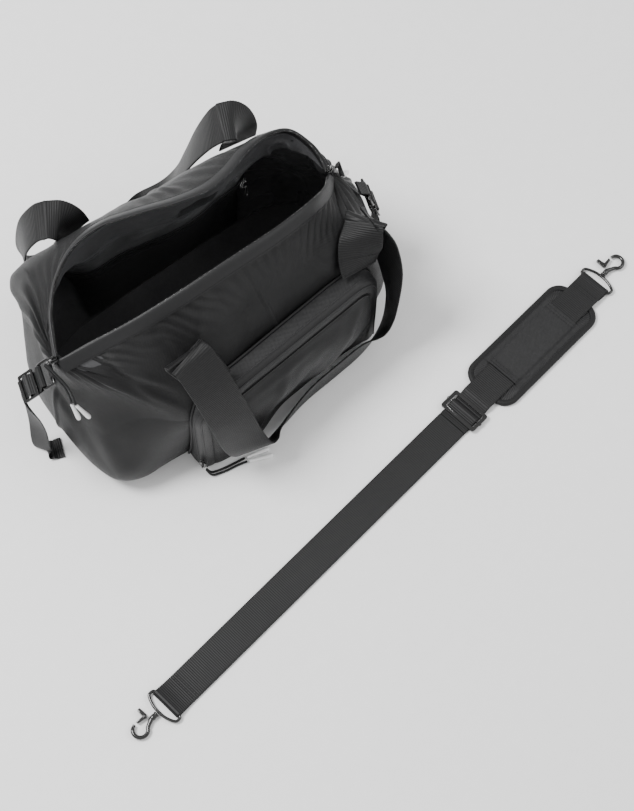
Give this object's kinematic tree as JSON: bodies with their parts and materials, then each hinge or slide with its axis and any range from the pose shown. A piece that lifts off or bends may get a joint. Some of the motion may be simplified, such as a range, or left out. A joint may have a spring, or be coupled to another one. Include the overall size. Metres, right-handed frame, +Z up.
{
  "type": "duffel bag",
  "caption": "Soft open duffel bag with a gathered mouth, zipped front pocket, carry handles and end straps, and its padded shoulder strap unclipped beside it.",
  "frame": {"origin": "on the ground, under the middle of the base panel", "axes": "+X along the bag, -Y towards the pocket side, +Z up"},
  "size_m": [0.8047, 0.5395, 0.2516],
  "materials": {
    "shell": "woven ripstop with a small diamond figure, dark grey, slight sheen",
    "lining": "smooth plain lining cloth, dark grey, soft sheen",
    "webbing": "ribbed woven webbing, black",
    "tape": "reverse coil zip tape, charcoal, fine ribs",
    "board": "stiffening board, black, plain",
    "metal": "gun-metal, glossy",
    "bright": "polished nickel",
    "cord": "braided cord, black",
    "tip": "moulded silicone, white, satin"
  },
  "bodies": {
    "bag": {"front_panel": "shell", "rear_panel": "shell", "right_end_panel": "shell", "left_end_panel": "shell", "base_panel": "shell", "base_board": "board", "front_zip_tape": "tape", "rear_zip_tape": "tape", "lining": "lining", "inner_pocket_panel": "shell", "inner_zip_tape": "tape", "woven_label": "cord", "pocket_gusset": "shell", "pocket_zip_tape": "tape", "pocket_piping": "cord", "pocket_face": "shell", "front_handle_left_end": "webbing", "front_handle_right_end": "webbing", "rear_handle_left_end": "webbing", "rear_handle_right_end": "webbing", "left_zip_end_tab": "webbing", "right_zip_end_tab": "webbing", "left_end_strap": "webbing", "right_end_strap": "webbing"},
    "front_handle": {"front_handle_grip": "webbing"},
    "rear_handle": {"rear_handle_grip": "webbing"},
    "left_ring": {"left_ring": "metal"},
    "right_ring": {"right_ring": "metal"},
    "left_adjuster": {"left_adjuster": "metal"},
    "right_adjuster": {"right_adjuster": "metal"},
    "left_slider": {"left_slider": "metal"},
    "left_pull": {"left_pull_cord": "cord", "left_pull_tip_a": "tip", "left_pull_tip_b": "tip"},
    "right_slider": {"right_slider": "metal"},
    "right_pull": {"right_pull_cord": "cord", "right_pull_tip_a": "tip", "right_pull_tip_b": "tip"},
    "pocket_slider": {"pocket_slider": "metal"},
    "pocket_pull": {"pocket_pull_cord": "cord", "pocket_pull_tip_a": "tip", "pocket_pull_tip_b": "tip"},
    "inner_slider": {"inner_slider": "bright"},
    "inner_pull": {"inner_pull": "bright"},
    "strap": {"strap_webbing": "webbing"},
    "strap_adjuster": {"strap_adjuster": "metal", "strap_adjuster_bar": "metal"},
    "strap_pad": {"shoulder_pad": "lining", "pad_sleeve": "shell"},
    "lower_loop": {"lower_clasp_loop": "metal"},
    "lower_hook": {"lower_clasp_hook": "metal", "lower_clasp_pin": "metal", "lower_clasp_spring": "metal"},
    "lower_gate": {"lower_clasp_gate": "metal"},
    "upper_loop": {"upper_clasp_loop": "metal"},
    "upper_hook": {"upper_clasp_hook": "metal", "upper_clasp_pin": "metal", "upper_clasp_spring": "metal"},
    "upper_gate": {"upper_clasp_gate": "metal"}
  },
  "joints": [
    {"name": "front_handle_swing", "type": "hinge", "parent": "bag", "child": "front_handle", "pos_m": [0.0399, -0.0895, 0.2114], "axis": [-0.9927, -0.0863, 0.0841], "range_deg": [0, 150]},
    {"name": "rear_handle_swing", "type": "hinge", "parent": "bag", "child": "rear_handle", "pos_m": [0.0025, 0.12445, 0.2055], "axis": [0.9828, -0.1429, 0.1171], "range_deg": [0, 145]},
    {"name": "left_ring_tilt", "type": "hinge", "parent": "bag", "child": "left_ring", "pos_m": [-0.206, -0.014, 0.193], "axis": [-0.3102, -0.9507, 0], "range_deg": [-12, 12], "deforming": ["left_end_strap"]},
    {"name": "right_ring_tilt", "type": "hinge", "parent": "bag", "child": "right_ring", "pos_m": [0.209, -0.027, 0.152], "axis": [0.3401, 0.9404, 0], "range_deg": [-12, 12], "deforming": ["right_end_strap"]},
    {"name": "left_adjuster_slide", "type": "slide", "parent": "bag", "child": "left_adjuster", "axis": [-0.7973, 0.2602, -0.5446], "range_m": [0, 0.012], "deforming": ["left_end_strap"]},
    {"name": "right_adjuster_slide", "type": "slide", "parent": "bag", "child": "right_adjuster", "axis": [0.2906, -0.1051, -0.9511], "range_m": [0, 0.012], "deforming": ["right_end_strap"]},
    {"name": "left_slider_slide", "type": "slide", "parent": "bag", "child": "left_slider", "axis": [0.9243, -0.2571, 0.2821], "range_m": [0, 0.014]},
    {"name": "left_pull_swing", "type": "hinge", "parent": "left_slider", "child": "left_pull", "pos_m": [-0.2086, -0.012, 0.206], "axis": [-1, 0, 0], "range_deg": [0, 70]},
    {"name": "right_slider_slide", "type": "slide", "parent": "bag", "child": "right_slider", "axis": [-0.6102, -0.5602, 0.5602], "range_m": [0, 0.01], "deforming": ["right_pull_cord", "right_pull_tip_a", "right_pull_tip_b"]},
    {"name": "right_pull_swing", "type": "hinge", "parent": "right_slider", "child": "right_pull", "pos_m": [0.1835, -0.005, 0.198], "axis": [0, -1, 0], "range_deg": [0, 60]},
    {"name": "pocket_slider_slide", "type": "slide", "parent": "bag", "child": "pocket_slider", "axis": [0, 0, 1], "range_m": [0, 0.04], "deforming": ["pocket_pull_cord", "pocket_pull_tip_a", "pocket_pull_tip_b"]},
    {"name": "pocket_pull_swing", "type": "hinge", "parent": "pocket_slider", "child": "pocket_pull", "pos_m": [-0.108, -0.141, 0.012], "axis": [0, 0, -1], "range_deg": [0, 30]},
    {"name": "inner_slider_slide", "type": "slide", "parent": "bag", "child": "inner_slider", "axis": [-0.8459, -0.5299, 0.06], "range_m": [0, 0.01]},
    {"name": "inner_pull_swing", "type": "hinge", "parent": "inner_slider", "child": "inner_pull", "pos_m": [0.112, 0.079, 0.121], "axis": [-0.8761, -0.4821, 0], "range_deg": [0, 50]},
    {"name": "strap_lift", "type": "slide", "parent": "bag", "child": "strap", "axis": [0, 0, 1], "range_m": [0, 0.3]},
    {"name": "strap_adjuster_slide", "type": "slide", "parent": "strap", "child": "strap_adjuster", "axis": [-0.9903, -0.1392, 0], "range_m": [0, 0.33]},
    {"name": "strap_pad_slide", "type": "slide", "parent": "strap", "child": "strap_pad", "axis": [0.9903, 0.1392, 0], "range_m": [-0.009, 0.009]},
    {"name": "lower_loop_tilt", "type": "hinge", "parent": "strap", "child": "lower_loop", "pos_m": [-0.302, -0.329, 0.0041], "axis": [-0.1392, 0.9903, 0], "range_deg": [0, 60]},
    {"name": "lower_hook_swivel", "type": "hinge", "parent": "lower_loop", "child": "lower_hook", "pos_m": [-0.32181, -0.33178, 0.0041], "axis": [-0.9903, -0.1392, 0], "continuous": true},
    {"name": "lower_gate_open", "type": "hinge", "parent": "lower_hook", "child": "lower_gate", "pos_m": [-0.32922, -0.32576, 0.0041], "axis": [0, 0, 1], "range_deg": [0, 22], "stiffness_Nm_per_rad": 0.03, "springref_deg": -12},
    {"name": "upper_loop_tilt", "type": "hinge", "parent": "strap", "child": "upper_loop", "pos_m": [0.40208, -0.23005, 0.0041], "axis": [0.1392, -0.9903, 0], "range_deg": [0, 60]},
    {"name": "upper_hook_swivel", "type": "hinge", "parent": "upper_loop", "child": "upper_hook", "pos_m": [0.42189, -0.22726, 0.0041], "axis": [0.9903, 0.1392, 0], "continuous": true},
    {"name": "upper_gate_open", "type": "hinge", "parent": "upper_hook", "child": "upper_gate", "pos_m": [0.42735, -0.21943, 0.0041], "axis": [0, 0, 1], "range_deg": [-22, 0], "stiffness_Nm_per_rad": 0.03, "springref_deg": 12}
  ]
}
